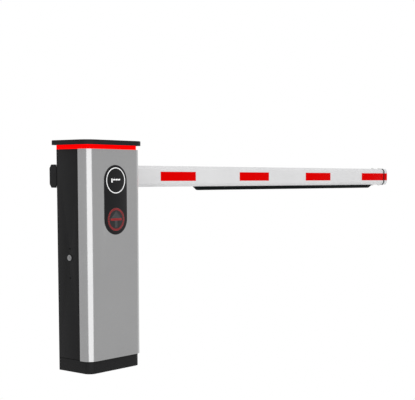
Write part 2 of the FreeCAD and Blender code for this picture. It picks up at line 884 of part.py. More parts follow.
def make_lever():
    hub = bar("y", SHAFT, "hub_radius", "hub_front", "hub_rear")
    arms = [arm(SHAFT, length, "arm_half", "arm_end", "lever_front", "lever_rear", angle)
            for length, angle in (("link_arm", LINK_ANGLE), ("spring_arm", SPRING_ANGLE))]
    link_at = polar(SHAFT, size("link_arm"), LINK_ANGLE)
    spring_at = polar(SHAFT, size("spring_arm"), SPRING_ANGLE)
    holes = [bar("y", at, radius, "pin_front", 0) for at, radius in
             ((SHAFT, "shaft_radius"), (link_at, "pin_radius"), (spring_at, "spring_pin_radius"))]
    node("main_lever", minus(union(hub, *arms), *holes))
    link_pin = turned("y", link_at, [("pin_radius", "pin_front", "lever_rear"),
                                     ("pin_head", "lever_rear", "lever_rear + 3")])
    spring_pin = turned("y", spring_at, [
        ("spring_pin_radius", "spring_pin_front", "spring_pin_rear"),
        ("spring_pin_head", "spring_pin_front", "spring_pin_front + 3"),
        ("spring_pin_head", "spring_pin_rear - 3", "spring_pin_rear"),
    ])
    node("lever_pins", group(link_pin, spring_pin))
    stop_at = polar(SHAFT, size("stop_circle"), STOP_ANGLE)
    node("stop_pin", bar("y", stop_at, "pin_radius", "stop_pin_front", "flange_front"))
    node("stop_sleeve", turned("y", stop_at, [("stop_radius", "stop_front", "stop_rear")],
                               [("pin_radius", "stop_front", "stop_rear")]))


# ---------------------------------------------------------------- gearbox and motor

DRIVE = ("drive_x", "drive_height")
WORM_X = "drive_x + wheel_radius + worm_radius + worm_gap"
MOTOR = (WORM_X, "motor_y")


def make_gearbox():
    width = ("gearbox_left", "gearbox_right")
    height = ("gearbox_low", "gearbox_high")
    outer = block(width, ("gearbox_front", "chassis_front"), height)
    inner = block(("gearbox_left + gearbox_wall", "gearbox_right - gearbox_wall"),
                  (0, "chassis_front - gearbox_wall"),
                  ("gearbox_low + gearbox_wall", "gearbox_high - gearbox_wall"))
    bores = [bar("z", MOTOR, "rotor_radius + fit_gap", "gearbox_low - 1", "gearbox_high + 1"),
             bar("y", DRIVE, "output_radius + fit_gap", "flange_front", "chassis_front - 2")]
    bores += [bar("y", at, "bolt_radius", "chassis_front - gearbox_wall + 1", "chassis_front + 1")
              for at in gearbox_bolts()]
    node("gearbox_housing", minus(outer, inner, *bores))
    plate = block(width, ("gearbox_cover", "gearbox_front"), height)
    boss = bar("y", DRIVE, "cover_hub", "-gearbox_cover", "gearbox_front - 4")
    hole = bar("y", DRIVE, "output_radius + fit_gap", "shaft_front", 20)
    node("gearbox_cover", minus(union(plate, boss), hole))
    node("output_shaft", bar("y", DRIVE, "output_radius", "shaft_front", "chassis_front - 3"))


def make_worm_wheel():
    """Wheel with one gap cut and repeated round its axis."""
    body = new_body("WormWheel")
    rear_face = "-(motor_y + wheel_width / 2)"
    sketch = new_sketch(body, "XZ_Plane", rear_face)
    for radius in ("wheel_radius", "output_radius"):
        circle = sketch.addGeometry(Part.Circle(Vector(), Vector(0, 0, 1), size(radius)), False)
        sketch.addConstraint(Sketcher.Constraint("Coincident", circle, 3, -1, 1))
        index = sketch.addConstraint(Sketcher.Constraint("Radius", circle, size(radius)))
        sketch.setExpression(f"Constraints[{index}]", formula(radius))
    blank = pad(body, sketch, "wheel_width")
    gap = new_sketch(body, "XZ_Plane", rear_face)
    foot, mouth = "wheel_radius - tooth_depth", "wheel_radius + 1"
    draw_polygon(gap, [("-gap_foot", foot), ("gap_foot", foot), ("gap_mouth", mouth), ("-gap_mouth", mouth)])
    pocket = body.newObject("PartDesign::Pocket", "ToothGap")
    pocket.Profile = gap
    pocket.Type = "ThroughAll"
    pocket.Reversed = True
    doc.recompute()
    if pocket.Shape.Volume >= blank.Shape.Volume:
        raise ValueError("the tooth gap cuts nothing")
    teeth = body.newObject("PartDesign::PolarPattern", "Teeth")
    teeth.Originals = [pocket]
    teeth.Axis = (gap, ["N_Axis"])
    teeth.Angle = 360
    bind(teeth, "Occurrences", "wheel_teeth")
    body.Tip = teeth
    body.Placement = Placement(Vector(size(DRIVE[0]), 0, size(DRIVE[1])), Rotation())
    node("worm_wheel", body)


def make_crank():
    hub = bar("y", DRIVE, "crank_hub", "hub_front", "hub_rear")
    web = arm(DRIVE, "link_arm", "arm_half", "arm_end", "lever_front", "lever_rear", LINK_ANGLE)
    pin = bar("y", polar(DRIVE, size("link_arm"), LINK_ANGLE), "pin_radius", "pin_front", "lever_rear - 6")
    node("crank_arm", minus(union(hub, web, pin), bar("y", DRIVE, "output_radius", "pin_front", 0)))


def make_link():
    """Rod from the crank's pin to the lever's pin; the upper eye has clearance round its pin."""
    foot = polar(DRIVE, size("link_arm"), LINK_ANGLE)
    head = polar(SHAFT, size("link_arm"), LINK_ANGLE)
    start = Vector(size(foot[0]), size("(link_front + link_rear) / 2"), size(foot[1]))
    end = Vector(size(head[0]), start.y, size(head[1]))
    span = (end - start).Length
    way = (end - start) / span
    turn = Rotation(Vector(0, 0, 1), way)
    rod = doc.addObject("Part::Cylinder", "Rod")
    bind(rod, "Radius", "link_rod")
    rod.Height = span
    rod.Placement = Placement(start, turn)
    pieces = [rod]
    for along in (size("link_eye + 6"), span - size("link_eye + link_nut + 6")):
        nut = doc.addObject("Part::Prism", "Nut")
        nut.Polygon = 6
        bind(nut, "Circumradius", "hex_radius")
        bind(nut, "Height", "link_nut")
        nut.Placement = Placement(start + way * along, turn)
        pieces.append(nut)
    for at in (foot, head):
        pieces.append(bar("y", at, "link_eye", "link_front", "link_rear"))
    holes = [bar("y", foot, "pin_radius + fit_gap", "pin_front", 0),
             bar("y", head, "pin_radius + open_pivot_gap", "pin_front", 0)]
    node("link_rod", minus(union(*pieces), *holes))


def make_motor():
    """Motor under the gearbox; its shaft carries the worm, and a handwheel on top for a power cut."""
    ribs = []
    for step in range(8):
        low = f"motor_first_rib + {step} * motor_rib_pitch"
        ribs.append(("motor_radius", low, f"{low} + motor_rib"))
    steps = [("motor_radius - 3", "motor_low", "gearbox_low"),
             ("motor_radius", "motor_flange", "gearbox_low")]
    bores = [("motor_bore", "rotor_core_low - 15", "rotor_core_high + 15"),
             ("rotor_radius + fit_gap", "motor_low - 1", "gearbox_low + 1")]
    node("motor_body", turned("z", MOTOR, steps + ribs, bores))
    cap = [("motor_radius", "motor_cap_edge", "motor_low"),
           ("motor_radius - 6", "motor_cap_low", "motor_cap_edge")]
    node("motor_cap", turned("z", MOTOR, cap, [("rotor_radius + 3", "rotor_low - 6", "motor_low")]))
    threads = []
    for turn in range(8):
        low = f"thread_first + {turn} * 2 * thread_width"
        threads.append(("worm_radius", low, f"{low} + thread_width"))
    shaft = [("rotor_radius", "rotor_low", "rotor_high"), ("worm_root", "worm_low", "worm_high"),
             ("rotor_core", "rotor_core_low", "rotor_core_high")]
    node("rotor_shaft", turned("z", MOTOR, shaft + threads))
    rim, hub = ("hand_radius", "hand_low", "hand_high"), ("hand_hub", "hand_hub_low", "rotor_high")
    wheel = turned("z", MOTOR, [rim, hub], [("rotor_radius", "hand_hub_low", "rotor_high")])
    grips = []
    for sixth in range(6):
        angle = math.radians(60 * sixth)
        at = (f"{WORM_X} + (hand_radius + 1) * {math.cos(angle)}",
              f"motor_y + (hand_radius + 1) * {math.sin(angle)}")
        grips.append(bar("z", at, 5, "hand_hub_low", "rotor_high"))
    node("handwheel", minus(wheel, *grips))


# ---------------------------------------------------------------- balance springs

def make_springs():
    rows = ("spring_front_y", "spring_rear_y")
    left, right = "spring_x - anchor_half", "spring_x + anchor_half"
    web = ("anchor_web_front", "anchor_back + 2")
    web_height = ("anchor_low + 10", "anchor_shelf + 2")
    pieces = [block((left, right), ("anchor_back", "chassis_front"), ("anchor_low", "anchor_top")),
              block((left, right), ("anchor_front", "chassis_front"), ("anchor_shelf", "anchor_top")),
              block((left, f"{left} + anchor_web"), web, web_height),
              block((f"{right} - anchor_web", right), web, web_height)]
    holes = [bar("z", ("spring_x", row), "eye_wire", "anchor_low", "anchor_top + 1") for row in rows]
    holes += [bar("y", at, "bolt_radius", "anchor_back - 1", "chassis_front + 1") for at in anchor_bolts()]
    node("spring_anchor", minus(union(*pieces), *holes))
    hardware = []
    springs = []
    for row in rows:
        at = ("spring_x", row)
        eye = doc.addObject("Part::Torus", "Eye")
        bind(eye, "Radius1", "eye_radius")
        bind(eye, "Radius2", "eye_wire")
        lay_along(eye, "y", ("spring_x", "spring_foot"), row)
        hardware.append(union(eye, bar("z", at, "eye_wire", "anchor_bolt_z", "spring_foot - eye_radius")))
        for low in ("anchor_shelf - eye_nut_height", "anchor_top"):
            high = f"{low} + eye_nut_height"
            nut = hexagon("z", at, "eye_nut", low, high)
            hardware.append(minus(nut, bar("z", at, "eye_wire", low, high)))
        springs.append(turned("z", at, [("spring_radius", "spring_low", "spring_high"),
                                        ("spring_hook", "spring_hook_low", "spring_low"),
                                        ("spring_hook", "spring_high", "spring_hook_high")],
                              [("spring_radius - spring_wall", "spring_low + 3", "spring_high - 3")]))
    node("eye_bolts", group(*hardware))
    pair = group(*springs)
    top = Vector(*[size(place) for place in polar(SHAFT, size("spring_arm"), SPRING_ANGLE)], 0)
    lean = math.degrees(math.atan2(size("spring_x") - top.x, top.y - size("spring_foot")))
    centre = Vector(size("spring_x"), 0, size("spring_foot"))
    pair.Placement = Placement(Vector(), Rotation(Vector(0, -1, 0), lean), centre)
    node("balance_springs", pair)


def make_mechanism_bolts():
    """Hexagon bolts that hold the bearing housing, the gearbox and the spring anchor to the chassis."""
    bolts = []
    for at in flange_bolts():
        head = hexagon("y", at, "hex_radius", "flange_head", "flange_front")
        bolts.append(union(head, bar("y", at, "bolt_radius", "flange_front", "flange_bolt_end")))
    for at in gearbox_bolts() + anchor_bolts():
        head = hexagon("y", at, "hex_radius", CHASSIS_REAR, f"{CHASSIS_REAR} + bolt_head")
        bolts.append(union(head, bar("y", at, "bolt_radius", "chassis_front - 7", CHASSIS_REAR)))
    node("mechanism_bolts", group(*bolts))


# ---------------------------------------------------------------- electrics

def make_electrics():
    width, height = ("box_left", "box_right"), ("box_low", "box_high")
    box = block(width, ("box_front", "chassis_front"), height)
    inside = block(("box_left + box_wall", "box_right - box_wall"),
                   ("box_front - 1", "chassis_front - box_wall"),
                   ("box_low + box_wall", "box_high - box_wall"))
    node("control_box", minus(box, inside))
    plate = block(width, ("box_front - cover_plate", "box_front"), height)
    raised = block(("box_left + cover_margin", "box_right - cover_margin"),
                   ("box_front - 7", "box_front - cover_plate"),
                   ("box_low + cover_margin", "box_high - cover_margin"))
    node("control_cover", union(plate, raised))
    wide = ("breaker_left", "breaker_right")
    case = union(block(wide, ("box_front", "chassis_front"), ("breaker_low", "breaker_high")),
                 block(wide, ("breaker_nose", "box_front + 2"), ("breaker_nose_low", "breaker_nose_high")))
    well = block(("toggle_left - 1", "toggle_left + toggle_width + 1"),
                 ("breaker_nose - 2", "box_front + 3"), ("toggle_z - 10", "toggle_z + 10"))
    node("breaker", minus(case, well))
    tab = doc.addObject("Part::Box", "Tab")
    bind(tab, "Length", "toggle_width")
    bind(tab, "Width", "toggle_reach")
    bind(tab, "Height", "toggle_thickness")
    reach, half = size("toggle_reach"), size("toggle_thickness / 2")
    corner = Vector(size("toggle_left"), size("toggle_y") - reach, size("toggle_z") - half)
    tab.Placement = Placement(corner, Rotation(Vector(1, 0, 0), size("toggle_lean")), Vector(0, reach, half))
    barrel = bar("x", ("toggle_y", "toggle_z"), "toggle_radius", "toggle_left", "toggle_left + toggle_width")
    node("breaker_toggle", union(barrel, tab))


# ---------------------------------------------------------------- boom

BOOM_REAR = "(boom_front + boom_depth)"
BOOM_MIDDLE = "(boom_front + boom_depth / 2)"
BOOM_TOP = "(shaft_height + boom_height / 2)"
BOOM_LOW = "(shaft_height - boom_height / 2)"
TIP_SCREWS = ("tip_screw_first", "tip_screw_second")


def clamp_places():
    return [(x, f"shaft_height + {side} * clamp_bolt_z") for x in ("clamp_bolt_left", "clamp_bolt_right")
            for side in (-1, 1)]


def make_clamp():
    span = ("clamp_left", "clamp_right")
    tall = ("shaft_height - clamp_half", "shaft_height + clamp_half")
    holder_face = "boom_front - holder_plate"
    cover_face = f"{BOOM_REAR} + clamp_plate"
    plate = block(span, (holder_face, "boom_front"), tall)
    hub = bar("y", SHAFT, "holder_hub", "holder_front", "boom_front - 5")
    rib = block((0, "rib_right"), ("rib_front", "boom_front - 5"),
                ("shaft_height - rib_half", "shaft_height + rib_half"))
    holes = [bar("y", at, "bolt_radius", f"{holder_face} - 1", "boom_front + 1") for at in clamp_places()]
    bore = bar("y", SHAFT, "shaft_radius", "holder_front - 1", "shaft_rear")
    node("boom_holder", minus(union(plate, hub, rib), bore, *holes))
    cover = block(span, (BOOM_REAR, cover_face), tall)
    holes = [bar("y", at, "bolt_radius", f"{BOOM_REAR} - 1", f"{cover_face} + 1") for at in clamp_places()]
    node("clamp_plate", minus(cover, *holes))
    hardware = []
    for at in clamp_places():
        head = hexagon("y", at, "hex_radius", f"{holder_face} - clamp_head", holder_face)
        shank = bar("y", at, "bolt_radius", f"{holder_face} - 1", f"{BOOM_REAR} + clamp_bolt_end")
        hardware.append(union(head, shank))
        nut_end = f"{cover_face} + clamp_nut"
        hardware.append(minus(hexagon("y", at, "hex_radius", cover_face, nut_end),
                              bar("y", at, "bolt_radius", cover_face, nut_end)))
    node("clamp_bolts", group(*hardware))


def tip_screw_holes():
    span = (f"{BOOM_LOW} - 1", f"{BOOM_TOP} + 1")
    return [bar("z", (x, BOOM_MIDDLE), "screw_radius", *span) for x in TIP_SCREWS]


def make_boom():
    tube = boom_body("BoomTube", [(0, "boom_wall", "boom_root + cap_plate", "boom_seam")])
    node("boom_tube", minus(tube, *tip_screw_holes()))
    plug = "boom_wall + cap_fit"
    root = boom_body("RootCap", [
        (0, None, "boom_root", "boom_root + cap_plate"),
        (plug, None, "boom_root + cap_plate", "boom_root + cap_plate + cap_plug"),
    ])
    root_end, tip_end = size("boom_root"), size("boom_tip")
    soften(root, "Chamfer", size("root_edge"), lambda box: lies_at(box.XMin, box.XMax, root_end))
    node("root_cap", root)
    tip = boom_body("TipCap", [
        (0, None, "boom_seam + seam_width", "boom_tip"),
        (plug, None, "tip_plug_start", "boom_seam + seam_width"),
    ])
    soften(tip, "Chamfer", size("cap_edge"), lambda box: lies_at(box.XMin, box.XMax, tip_end))
    hollow = boom_body("TipHollow", [("boom_wall + tip_wall", None, "tip_plug_start - 1", "boom_seam - 6")])
    node("tip_cap", minus(tip, hollow, *tip_screw_holes()))
    gasket = ("-seam_proud", plug, "boom_seam", "boom_seam + seam_width")
    node("tip_gasket", boom_body("TipGasket", [gasket]))
    screws = []
    for x in TIP_SCREWS:
        at = (x, BOOM_MIDDLE)
        screws.append(turned("z", at, [("tip_screw_head", BOOM_TOP, f"{BOOM_TOP} + tip_head_height"),
                                       ("screw_radius", f"{BOOM_TOP} - tip_screw_length", BOOM_TOP)]))
        screws.append(turned("z", at, [("tip_screw_head", f"{BOOM_LOW} - tip_head_height", BOOM_LOW),
                                       ("screw_radius", BOOM_LOW, f"{BOOM_LOW} + tip_screw_length")]))
    node("tip_screws", group(*screws))


def make_bumper():
    """Rubber strip under the boom with slanted ends."""
    body = new_body("Bumper")
    foot = f"{BOOM_LOW} - bumper_drop"
    sketch = new_sketch(body, "XZ_Plane", f"-({BOOM_MIDDLE} + bumper_half)")
    draw_polygon(sketch, [("bumper_left", BOOM_LOW), ("bumper_left_low", foot), ("bumper_right_low", foot),
                          ("bumper_right", BOOM_LOW)])
    pad(body, sketch, "2 * bumper_half")
    bottom = size(foot)
    soften(body, "Fillet", size("bumper_edge"),
           lambda box: lies_at(box.ZMin, box.ZMax, bottom) and box.XLength > 100)
    node("bumper_strip", body)


def make_tapes():
    """Reflective tapes on both faces; the last one is cut in two by the seam of the tip cap."""
    tall = ("shaft_height - tape_height / 2", "shaft_height + tape_height / 2")
    tapes = []
    faces = (("boom_front - tape_thickness", "boom_front"), (BOOM_REAR, f"{BOOM_REAR} + tape_thickness"))
    for face in faces:
        for index in range(TAPE_ROWS):
            start = f"tape_first + {index} * tape_pitch"
            tapes.append(block((start, f"{start} + tape_length"), face, tall))
        tapes.append(block((f"tape_first + {TAPE_ROWS} * tape_pitch", "boom_seam"), face, tall))
        tapes.append(block(("boom_seam + seam_width", "boom_tip - cap_edge"), face, tall))
    node("reflective_tapes", group(*tapes))


for make in (make_base, make_inner_frame, make_panels, make_shell, make_top, make_display, make_leds,
             make_door, make_lock, make_chassis, make_bearing_housing, make_shaft, make_lever,
             make_gearbox, make_worm_wheel, make_crank, make_link, make_motor, make_springs,
             make_mechanism_bolts, make_electrics, make_clamp, make_boom, make_bumper, make_tapes):
    make()
doc.recompute()

for thing in doc.Objects:
    if "Invalid" in thing.State or "Error" in thing.State:
        raise ValueError(f"{thing.Name} ({thing.Label}) failed: {thing.State}")
for label, thing in NODES.items():
    if thing.Shape.isNull() or not thing.Shape.isValid() or not thing.Shape.Solids:
        raise ValueError(f"{label} has no valid solid")

os.makedirs("parts", exist_ok=True)
for label, thing in NODES.items():
    thing.Shape.exportStep(f"parts/{label}.step")
    bounds = thing.Shape.BoundBox
    print(f"{label:18s} {len(thing.Shape.Solids):4d} solids {thing.Shape.Volume / 1000:10.1f} cm3"
          f"  x {bounds.XMin:8.1f} {bounds.XMax:8.1f}  y {bounds.YMin:7.1f} {bounds.YMax:7.1f}"
          f"  z {bounds.ZMin:7.1f} {bounds.ZMax:7.1f}")
print(len(NODES), "nodes")
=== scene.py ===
import json
import math

import bmesh
import bpy
from mathutils import Matrix, Vector


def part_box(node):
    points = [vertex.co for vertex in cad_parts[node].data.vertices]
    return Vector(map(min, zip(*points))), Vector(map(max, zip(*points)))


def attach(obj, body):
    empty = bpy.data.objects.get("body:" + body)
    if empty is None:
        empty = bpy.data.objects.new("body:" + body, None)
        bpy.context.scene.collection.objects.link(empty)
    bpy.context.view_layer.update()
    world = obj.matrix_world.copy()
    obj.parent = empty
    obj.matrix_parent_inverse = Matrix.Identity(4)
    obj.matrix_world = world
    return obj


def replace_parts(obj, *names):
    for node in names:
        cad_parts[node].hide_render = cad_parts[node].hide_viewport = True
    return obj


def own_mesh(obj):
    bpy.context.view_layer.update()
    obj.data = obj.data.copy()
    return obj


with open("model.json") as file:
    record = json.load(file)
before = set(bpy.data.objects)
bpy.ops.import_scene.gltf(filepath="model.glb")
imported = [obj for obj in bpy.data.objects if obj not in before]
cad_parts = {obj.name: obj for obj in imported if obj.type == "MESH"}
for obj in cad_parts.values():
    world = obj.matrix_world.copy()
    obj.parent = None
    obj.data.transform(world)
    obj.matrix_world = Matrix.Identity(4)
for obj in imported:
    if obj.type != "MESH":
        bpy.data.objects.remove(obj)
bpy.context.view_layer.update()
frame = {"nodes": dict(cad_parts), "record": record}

# Parking barrier gate. Metres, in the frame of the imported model: +X along the closed boom, -Y is the front.

NODES = frame["nodes"]
MM = 0.001
SCENE = bpy.context.scene


# ---------------------------------------------------------------- shader helpers

def new_material(name):
    """Material with a Principled shader, and a small helper that adds and links nodes."""
    material = bpy.data.materials.new(name)
    material.use_nodes = True
    tree = material.node_tree
    shader = next(item for item in tree.nodes if item.type == "BSDF_PRINCIPLED")
    return material, tree, shader


def add(tree, kind, inputs=None, **settings):
    """New node with some settings; inputs are numbers or sockets, by name or index."""
    made = tree.nodes.new(kind)
    for key, value in settings.items():
        setattr(made, key, value)
    for key, value in (inputs or {}).items():
        if isinstance(value, bpy.types.NodeSocket):
            tree.links.new(value, made.inputs[key])
        else:
            made.inputs[key].default_value = value
    return made


def object_place(tree, stretch=(1, 1, 1)):
    """Place on the object in metres, stretched along the axes."""
    place = add(tree, "ShaderNodeTexCoord").outputs["Object"]
    return add(tree, "ShaderNodeMapping", {"Vector": place, "Scale": stretch}).outputs["Vector"]


def noise(tree, place, scale, detail=3.0, roughness=0.55):
    inputs = {"Vector": place, "Scale": scale, "Detail": detail, "Roughness": roughness}
    return add(tree, "ShaderNodeTexNoise", inputs).outputs["Fac"]


def ramp(tree, value, low, high, start, end):
    """Value from low..high spread over start..end."""
    inputs = {"Value": value, "From Min": low, "From Max": high, "To Min": start, "To Max": end}
    return add(tree, "ShaderNodeMapRange", inputs).outputs["Result"]


def mix_colour(tree, factor, first, second):
    """Blend of two colours, each a socket or an (r, g, b) value."""
    made = add(tree, "ShaderNodeMix", data_type="RGBA")
    for slot, value in ((0, factor), (6, first), (7, second)):
        if isinstance(value, bpy.types.NodeSocket):
            tree.links.new(value, made.inputs[slot])
        elif slot == 0:
            made.inputs[slot].default_value = value
        else:
            made.inputs[slot].default_value = (*value, 1)
    return made.outputs[2]


def shade(colour, factor):
    return tuple(min(1.0, part * factor) for part in colour)


def bump(tree, height, strength, distance, after=None):
    inputs = {"Height": height, "Strength": strength, "Distance": distance}
    if after is not None:
        inputs["Normal"] = after
    return add(tree, "ShaderNodeBump", inputs).outputs["Normal"]


def surface(name, colour, rough, metal=0.0, grain=(900, 0.25, 0.0002), mottle=(9, 0.08), wear=0.0,
            shine=0.5, stretch=(1, 1, 1), spread=0.08):
    """General finish: fine grain in the bump, soft mottling in colour and roughness, and light scuffs.
    grain is (scale, strength, height in metres), and mottle is (scale, share of the colour)."""
    material, tree, shader = new_material(name)
    grain_scale, grain_strength, grain_height = grain
    mottle_scale, mottle_share = mottle
    place = object_place(tree, stretch)
    fine = noise(tree, place, grain_scale, 4.0)
    broad = noise(tree, place, mottle_scale, 5.0, 0.6)
    patches = ramp(tree, broad, 0.3, 0.7, 0, 1)
    tint = mix_colour(tree, patches, shade(colour, 1 - mottle_share), shade(colour, 1 + mottle_share))
    if wear:
        rubbed = noise(tree, object_place(tree, (1, 1, 0.25)), 130, 8.0, 0.75)
        tint = mix_colour(tree, ramp(tree, rubbed, 0.62, 0.72, 0, wear), tint, shade(colour, 2.2))
    tree.links.new(tint, shader.inputs["Base Color"])
    cloud = noise(tree, place, mottle_scale * 5, 4.0)
    tree.links.new(ramp(tree, cloud, 0.3, 0.7, rough - spread, rough + spread), shader.inputs["Roughness"])
    tree.links.new(bump(tree, fine, grain_strength, grain_height), shader.inputs["Normal"])
    shader.inputs["Metallic"].default_value = metal
    shader.inputs["Specular IOR Level"].default_value = shine
    return material


# ---------------------------------------------------------------- materials

def powder_black():
    """Fine textured black powder coat with an orange-peel bump."""
    material, tree, shader = new_material("black_coat")
    place = object_place(tree)
    peel = noise(tree, place, 650, 2.0)
    grit = noise(tree, place, 2600, 2.0)
    dust = noise(tree, place, 14, 6.0, 0.65)
    dusty = ramp(tree, dust, 0.35, 0.75, 0, 1)
    base = mix_colour(tree, dusty, (0.0062, 0.0062, 0.0065), (0.0092, 0.0092, 0.0096))
    scuffs = ramp(tree, noise(tree, place, 95, 9.0, 0.8), 0.66, 0.74, 0, 0.22)
    base = mix_colour(tree, scuffs, base, (0.024, 0.024, 0.025))
    tree.links.new(base, shader.inputs["Base Color"])
    tree.links.new(ramp(tree, dust, 0.3, 0.7, 0.5, 0.62), shader.inputs["Roughness"])
    first = bump(tree, peel, 0.35, 0.0003)
    tree.links.new(bump(tree, grit, 0.2, 0.0001, first), shader.inputs["Normal"])
    shader.inputs["Specular IOR Level"].default_value = 0.13
    return material


def silver_coat():
    """Satin silver powder coat with fine metal flakes."""
    material, tree, shader = new_material("silver_coat")
    place = object_place(tree)
    flakes = add(tree, "ShaderNodeTexVoronoi", {"Vector": place, "Scale": 1500.0})
    sparkle = ramp(tree, flakes.outputs["Distance"], 0.0, 0.6, 0, 1)
    cloud = noise(tree, place, 5, 4.0)
    base = mix_colour(tree, sparkle, (0.385, 0.385, 0.387), (0.325, 0.325, 0.327))
    base = mix_colour(tree, ramp(tree, cloud, 0.35, 0.7, 0, 0.18), base, (0.28, 0.28, 0.283))
    tree.links.new(base, shader.inputs["Base Color"])
    tree.links.new(ramp(tree, cloud, 0.3, 0.7, 0.16, 0.2), shader.inputs["Roughness"])
    tree.links.new(bump(tree, noise(tree, place, 1100, 2.0), 0.1, 0.00006), shader.inputs["Normal"])
    shader.inputs["Metallic"].default_value = 0.85
    return material


def red_band():
    """Translucent red cover lit from behind by a strip of lamps."""
    material, tree, shader = new_material("red_lens")
    place = object_place(tree)
    waves = {"Vector": place, "Scale": 12.0, "Distortion": 0.0}
    strip = add(tree, "ShaderNodeTexWave", waves, bands_direction="X")
    glow = mix_colour(tree, strip.outputs["Fac"], (0.92, 0.0, 0.0), (1.0, 0.0, 0.0))
    tree.links.new(glow, shader.inputs["Emission Color"])
    cloudy = mix_colour(tree, noise(tree, place, 60, 3.0), (0.4, 0.0, 0.0), (0.5, 0.0, 0.0))
    tree.links.new(cloudy, shader.inputs["Base Color"])
    tree.links.new(bump(tree, noise(tree, place, 500, 2.0), 0.1, 0.0002), shader.inputs["Normal"])
    shader.inputs["Emission Strength"].default_value = 0.95
    shader.inputs["Roughness"].default_value = 0.3
    shader.inputs["Specular IOR Level"].default_value = 0.01
    return material


def panel_black():
    """Deep black acrylic with faint wiping marks."""
    material, tree, shader = new_material("panel_black")
    place = object_place(tree)
    smear = noise(tree, object_place(tree, (1, 1, 0.35)), 22, 6.0, 0.7)
    base = mix_colour(tree, noise(tree, place, 10), (0.0058, 0.0058, 0.0064), (0.008, 0.008, 0.0086))
    tree.links.new(base, shader.inputs["Base Color"])
    tree.links.new(ramp(tree, smear, 0.35, 0.75, 0.12, 0.24), shader.inputs["Roughness"])
    tree.links.new(bump(tree, noise(tree, place, 30, 2.0), 0.03, 0.0005), shader.inputs["Normal"])
    shader.inputs["Specular IOR Level"].default_value = 0.12
    return material


def lamp(name, colour, strength, rough=0.3):
    """Lamp lens: a tinted dome that glows evenly. The white print of the status ring takes this finish too,
    and there its slight glow is painted light.
    """
    material, tree, shader = new_material(name)
    place = object_place(tree)
    tint = mix_colour(tree, noise(tree, place, 300, 2.0), shade(colour, 0.85), shade(colour, 1.1))
    tree.links.new(tint, shader.inputs["Base Color"])
    tree.links.new(tint, shader.inputs["Emission Color"])
    tree.links.new(ramp(tree, noise(tree, place, 800, 2.0), 0.3, 0.7, rough - 0.05, rough + 0.1),
                   shader.inputs["Roughness"])
    shader.inputs["Emission Strength"].default_value = strength
    shader.inputs["Specular IOR Level"].default_value = 0.3
    return material


def prism_tape():
    """Red retroreflective sheeting: a fine diamond lattice with brighter seams."""
    material, tree, shader = new_material("tape_red")
    place = object_place(tree)
    turned = add(tree, "ShaderNodeMapping", {"Vector": place, "Rotation": (0, math.radians(45), 0)})
    split = add(tree, "ShaderNodeSeparateXYZ", {"Vector": turned.outputs["Vector"]})
    cell = 0.0045
    waves = []
    for axis in ("X", "Z"):
        along = {0: split.outputs[axis], 1: 2 * math.pi / cell}
        turns = add(tree, "ShaderNodeMath", along, operation="MULTIPLY")
        waves.append(add(tree, "ShaderNodeMath", {0: turns.outputs[0]}, operation="SINE").outputs[0])
    cells = add(tree, "ShaderNodeMath", {0: waves[0], 1: waves[1]}, operation="MULTIPLY").outputs[0]
    facet = ramp(tree, cells, -0.6, 0.6, 0, 1)
    base = mix_colour(tree, facet, (0.48, 0.0, 0.0), (0.58, 0.0, 0.0))
    grime = noise(tree, place, 12, 6.0, 0.65)
    base = mix_colour(tree, ramp(tree, grime, 0.5, 0.8, 0, 0.2), base, (0.42, 0.002, 0.002))
    tree.links.new(base, shader.inputs["Base Color"])
    tree.links.new(ramp(tree, facet, 0, 1, 0.24, 0.4), shader.inputs["Roughness"])
    tree.links.new(bump(tree, facet, 0.12, 0.0002), shader.inputs["Normal"])
    shader.inputs["Specular IOR Level"].default_value = 0.004
    return material


def turned_metal(name, colour, rough):
    """Machined metal with fine tool marks round the Y axis, about which these pieces are turned."""
    return surface(name, colour, rough, metal=1.0, grain=(2600, 0.3, 0.00012), mottle=(30, 0.12),
                   stretch=(0.03, 1, 0.03), spread=0.1)


def cast_surface():
    """Painted sand casting: coarse pitted skin over broad lumps."""
    material, tree, shader = new_material("cast_grey")
    place = object_place(tree)
    pits = noise(tree, place, 420, 6.0, 0.7)
    lumps = noise(tree, place, 70, 3.0)
    base = mix_colour(tree, ramp(tree, pits, 0.3, 0.7, 0, 1), (0.075, 0.078, 0.082), (0.125, 0.128, 0.132))
    tree.links.new(base, shader.inputs["Base Color"])
    tree.links.new(ramp(tree, pits, 0.3, 0.7, 0.45, 0.7), shader.inputs["Roughness"])
    first = bump(tree, lumps, 0.4, 0.0012)
    tree.links.new(bump(tree, pits, 0.6, 0.0005, first), shader.inputs["Normal"])
    shader.inputs["Metallic"].default_value = 0.2
    return material


def circuit_board():
    """Green solder mask over thin copper tracks."""
    material, tree, shader = new_material("board_green")
    place = object_place(tree)
    inputs = {"Vector": place, "Scale": 60.0, "Mortar Size": 0.03, "Color1": (0.01, 0.09, 0.035, 1),
              "Color2": (0.012, 0.11, 0.04, 1), "Mortar": (0.03, 0.2, 0.07, 1)}
    tracks = add(tree, "ShaderNodeTexBrick", inputs)
    tree.links.new(tracks.outputs["Color"], shader.inputs["Base Color"])
    tree.links.new(ramp(tree, noise(tree, place, 200), 0.3, 0.7, 0.25, 0.4), shader.inputs["Roughness"])
    tree.links.new(bump(tree, tracks.outputs["Fac"], 0.2, 0.0001), shader.inputs["Normal"])
    return material


